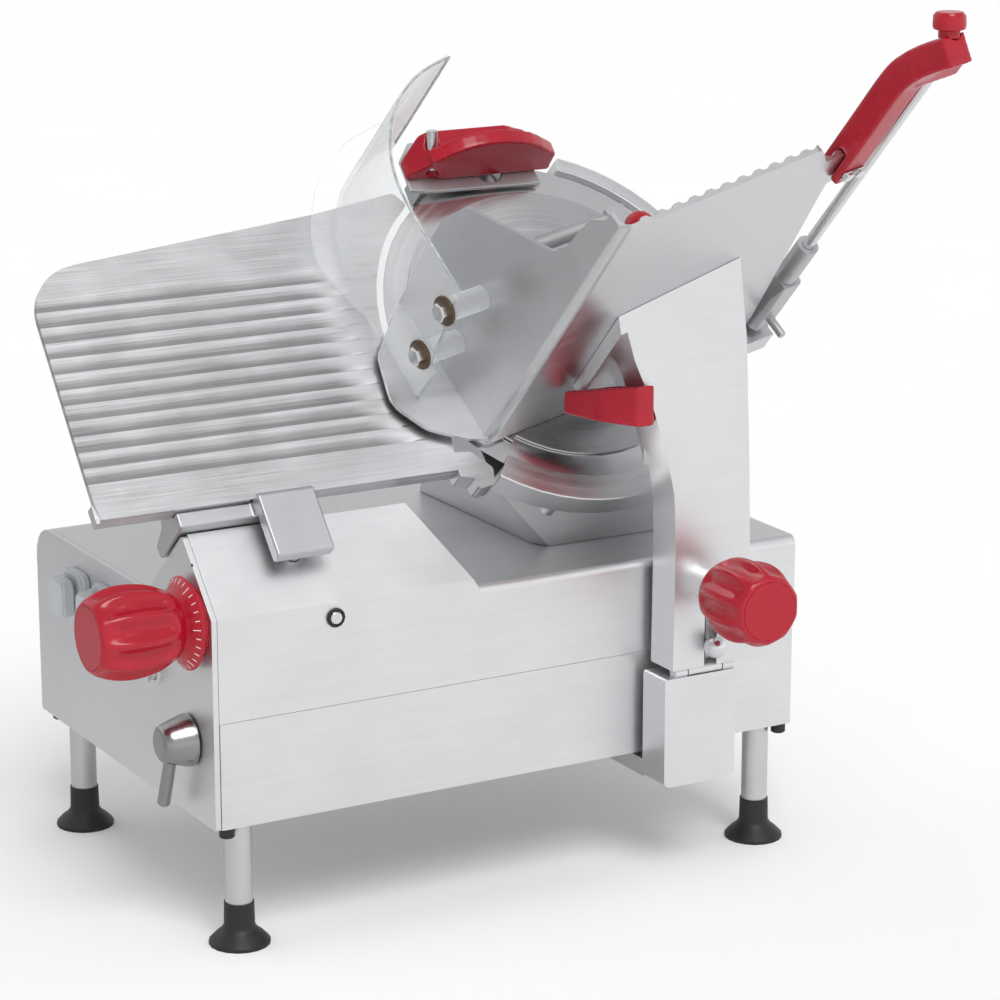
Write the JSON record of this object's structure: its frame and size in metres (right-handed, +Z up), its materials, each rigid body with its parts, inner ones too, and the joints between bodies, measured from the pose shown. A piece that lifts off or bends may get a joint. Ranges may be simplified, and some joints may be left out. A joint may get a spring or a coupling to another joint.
{
  "type": "meat slicer",
  "caption": "Automatic gravity-feed deli slicer: tilted round knife, ribbed gauge plate, sliding tilting food tray with pusher, clear guard, index knob and motor base on legs.",
  "frame": {"origin": "on the table, at the middle of the whole machine's outline seen from above", "axes": "+Z up, -Y towards the control front with the index knob, +X towards the carriage side; the food tray slides along Y"},
  "size_m": [0.6412, 0.6982, 0.7901],
  "materials": {
    "satin_casting": "satin brushed anodised aluminium casting",
    "leg_metal": "satin aluminium bar",
    "foot_rubber": "black moulded rubber",
    "knife_steel": "ground and polished knife steel",
    "cover_metal": "round-brushed stainless steel",
    "housing_metal": "fine cast light alloy, light grey",
    "plate_metal": "satin anodised aluminium plate",
    "bright_steel": "turned bright steel",
    "red_plastic": "satin red moulded plastic",
    "button_grey": "light grey moulded rubber",
    "clear_plastic": "clear bent acrylic",
    "bolt_bronze": "dark bronze washers",
    "motor_black": "black painted motor shell",
    "belt_rubber": "black toothed belt rubber",
    "grinding_wheel": "bonded abrasive"
  },
  "bodies": {
    "base": {"base_housing": "satin_casting", "base_pan": "satin_casting", "bottom_cover": "satin_casting", "front_panel": "satin_casting", "leg_front_right": "leg_metal", "leg_front_left": "leg_metal", "leg_rear_right": "leg_metal", "leg_rear_left": "leg_metal", "foot_front_right": "foot_rubber", "foot_front_left": "foot_rubber", "foot_rear_right": "foot_rubber", "foot_rear_left": "foot_rubber", "side_plug": "bright_steel", "plug_seal": "foot_rubber", "cable_gland": "foot_rubber", "button_collars": "button_grey", "knife_cover": "cover_metal", "ring_guard": "cover_metal", "ring_guard_bolt": "bright_steel", "blade_housing": "housing_metal", "knife_bearing": "knife_steel", "knife_motor": "motor_black", "knife_belt": "belt_rubber", "sharpener_bracket": "housing_metal", "sharpener_cover": "red_plastic", "grinding_stone": "grinding_wheel", "slide_rod": "bright_steel", "carriage_motor": "motor_black", "carriage_belt": "belt_rubber"},
    "start_button": {"start_button": "button_grey"},
    "stop_button": {"stop_button": "button_grey"},
    "mode_button": {"mode_button": "bright_steel"},
    "stroke_lever": {"stroke_lever": "bright_steel"},
    "index": {"index_knob": "red_plastic"},
    "gauge": {"gauge_plate": "plate_metal", "gauge_carrier": "housing_metal"},
    "knife": {"knife": "knife_steel", "knife_hub": "knife_steel"},
    "motor_pulley": {"motor_pulley": "bright_steel"},
    "sharpener_pin": {"sharpener_pin": "bright_steel"},
    "drive_pulley": {"drive_pulley": "bright_steel"},
    "idler_pulley": {"idler_pulley": "bright_steel"},
    "carriage": {"carriage_slider": "housing_metal", "carriage_block": "satin_casting", "hinge_pin": "bright_steel"},
    "table": {"carriage_arm": "satin_casting", "finger_handle": "red_plastic", "meat_tray": "plate_metal", "fence_guard": "clear_plastic", "guard_bolt_lower": "bolt_bronze", "guard_bolt_upper": "bolt_bronze", "tray_handle": "red_plastic", "handle_bolts": "bright_steel", "handle_cap": "red_plastic", "pusher_rod": "bright_steel"},
    "lock_knob": {"lock_knob": "red_plastic"},
    "latch": {"tilt_latch": "bright_steel"},
    "pusher_sleeve": {"pusher_sleeve": "housing_metal"},
    "pusher": {"pusher_arm": "housing_metal", "pusher_knob": "red_plastic"}
  },
  "joints": [
    {"name": "start_press", "type": "slide", "parent": "base", "child": "start_button", "axis": [0, 1, 0], "range_m": [0, 0.004], "stiffness_N_per_m": 400},
    {"name": "stop_press", "type": "slide", "parent": "base", "child": "stop_button", "axis": [0, 1, 0], "range_m": [0, 0.004], "stiffness_N_per_m": 400},
    {"name": "mode_press", "type": "slide", "parent": "base", "child": "mode_button", "axis": [0, 1, 0], "range_m": [0, 0.003], "stiffness_N_per_m": 400},
    {"name": "stroke_turn", "type": "hinge", "parent": "base", "child": "stroke_lever", "pos_m": [0.01721, -0.25407, 0.181], "axis": [0, -1, 0], "range_deg": [-60, 60]},
    {"name": "index_turn", "type": "hinge", "parent": "base", "child": "index", "pos_m": [0.02741, -0.25407, 0.2871], "axis": [0, -1, 0], "range_deg": [0, 300]},
    {"name": "gauge_slide", "type": "slide", "parent": "base", "child": "gauge", "axis": [-0.7518, 0, -0.6593], "range_m": [0, 0.015]},
    {"name": "knife_spin", "type": "hinge", "parent": "base", "child": "knife", "pos_m": [-0.07539, 0.15523, 0.4781], "axis": [0.7518, 0, 0.6593], "continuous": true},
    {"name": "motor_spin", "type": "hinge", "parent": "base", "child": "motor_pulley", "pos_m": [-0.00946, 0.15523, 0.40292], "axis": [0.7518, 0, 0.6593], "continuous": true},
    {"name": "sharpener_press", "type": "slide", "parent": "base", "child": "sharpener_pin", "axis": [0, 0, -1], "range_m": [0, 0.005], "stiffness_N_per_m": 600},
    {"name": "drive_pulley_turn", "type": "hinge", "parent": "base", "child": "drive_pulley", "pos_m": [-0.08279, -0.19297, 0.16], "axis": [0, 0, 1], "range_deg": [-660, 10]},
    {"name": "idler_pulley_turn", "type": "hinge", "parent": "base", "child": "idler_pulley", "pos_m": [-0.08279, 0.27103, 0.16], "axis": [0, 0, 1], "range_deg": [-660, 10]},
    {"name": "carriage_slide", "type": "slide", "parent": "base", "child": "carriage", "axis": [0, 1, 0], "range_m": [-0.3, 0]},
    {"name": "table_tilt", "type": "hinge", "parent": "carriage", "child": "table", "pos_m": [0.10121, 0.19903, 0.195], "axis": [0, 1, 0], "range_deg": [0, 35]},
    {"name": "lock_turn", "type": "hinge", "parent": "table", "child": "lock_knob", "pos_m": [0.10721, 0.19953, 0.2765], "axis": [1, 0, 0], "range_deg": [-180, 180]},
    {"name": "latch_lift", "type": "slide", "parent": "table", "child": "latch", "axis": [0, 0, 1], "range_m": [0, 0.018], "stiffness_N_per_m": 400},
    {"name": "pusher_slide", "type": "slide", "parent": "table", "child": "pusher_sleeve", "axis": [0.7071, 0, 0.7071], "range_m": [0, 0.2]},
    {"name": "pusher_swing", "type": "hinge", "parent": "pusher_sleeve", "child": "pusher", "pos_m": [0.00635, 0.33409, 0.50101], "axis": [-0.7071, 0, -0.7071], "range_deg": [0, 28]}
  ],
  "couplings": [
    {"joint": "motor_spin", "follows": "knife_spin", "ratio": 2.2917},
    {"joint": "index_turn", "follows": "gauge_slide", "rad_per_m": 347.9},
    {"joint": "drive_pulley_turn", "follows": "carriage_slide", "rad_per_m": 37.313},
    {"joint": "idler_pulley_turn", "follows": "carriage_slide", "rad_per_m": 37.313}
  ]
}
